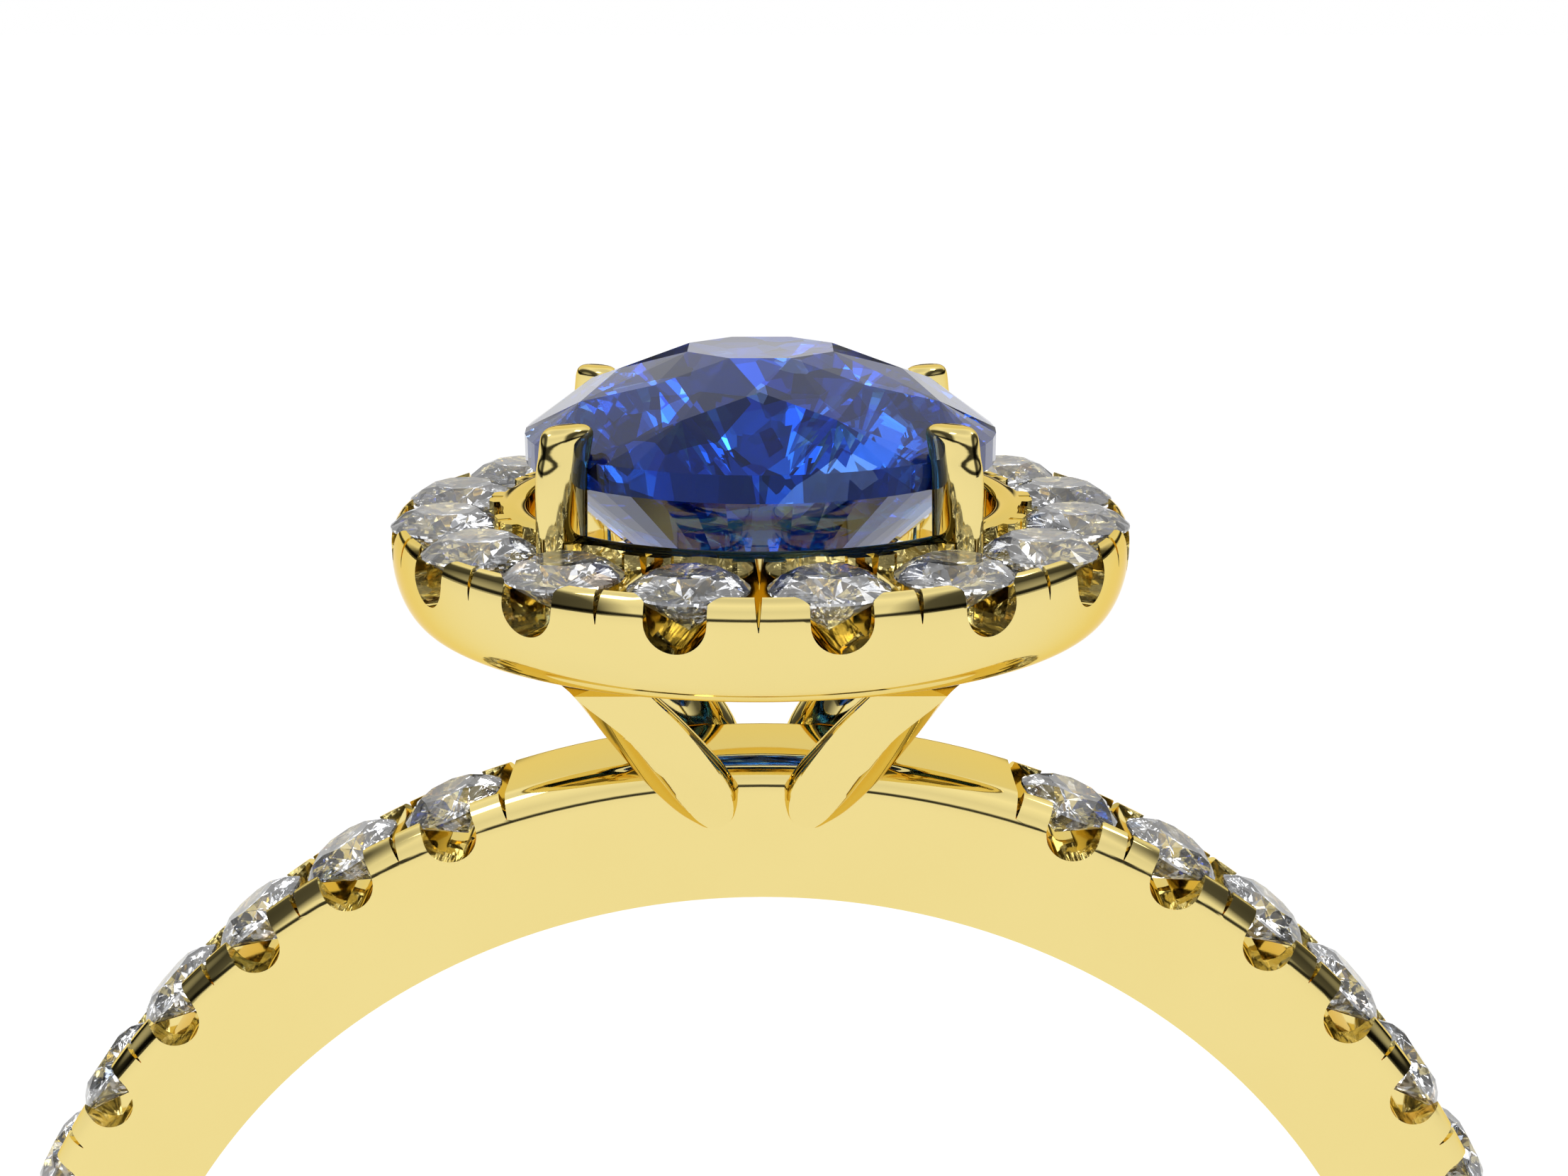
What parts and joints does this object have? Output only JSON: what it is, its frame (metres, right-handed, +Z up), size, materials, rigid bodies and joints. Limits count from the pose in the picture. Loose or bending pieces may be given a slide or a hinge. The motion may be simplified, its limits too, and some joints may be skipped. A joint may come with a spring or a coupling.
{
  "type": "halo engagement ring",
  "caption": "Finger ring: flat-sided band with cut-down pave shoulders, prong legs and a scalloped halo round a raised brilliant-cut centre stone",
  "frame": {"origin": "centre of the finger bore, in the middle of the band's width", "axes": "bore axis along Y, +Z up through the middle of the head, X across the band"},
  "size_m": [0.0204, 0.0086, 0.025],
  "materials": {
    "yellow_gold": "mirror polished 18 carat yellow gold",
    "sapphire": "faceted and polished",
    "diamond": "faceted and polished"
  },
  "bodies": {
    "root": {"shank": "yellow_gold", "halo": "yellow_gold", "prong_front_left": "yellow_gold", "prong_front_right": "yellow_gold", "prong_back_left": "yellow_gold", "prong_back_right": "yellow_gold", "centre_sapphire": "sapphire", "halo_diamond_01": "diamond", "halo_diamond_02": "diamond", "halo_diamond_03": "diamond", "halo_diamond_04": "diamond", "halo_diamond_05": "diamond", "halo_diamond_06": "diamond", "halo_diamond_07": "diamond", "halo_diamond_08": "diamond", "halo_diamond_09": "diamond", "halo_diamond_10": "diamond", "halo_diamond_11": "diamond", "halo_diamond_12": "diamond", "halo_diamond_13": "diamond", "halo_diamond_14": "diamond", "halo_diamond_15": "diamond", "halo_diamond_16": "diamond", "shoulder_diamond_left_01": "diamond", "shoulder_diamond_left_02": "diamond", "shoulder_diamond_left_03": "diamond", "shoulder_diamond_left_04": "diamond", "shoulder_diamond_left_05": "diamond", "shoulder_diamond_left_06": "diamond", "shoulder_diamond_left_07": "diamond", "shoulder_diamond_left_08": "diamond", "shoulder_diamond_left_09": "diamond", "shoulder_diamond_right_01": "diamond", "shoulder_diamond_right_02": "diamond", "shoulder_diamond_right_03": "diamond", "shoulder_diamond_right_04": "diamond", "shoulder_diamond_right_05": "diamond", "shoulder_diamond_right_06": "diamond", "shoulder_diamond_right_07": "diamond", "shoulder_diamond_right_08": "diamond", "shoulder_diamond_right_09": "diamond"}
  },
  "joints": []
}
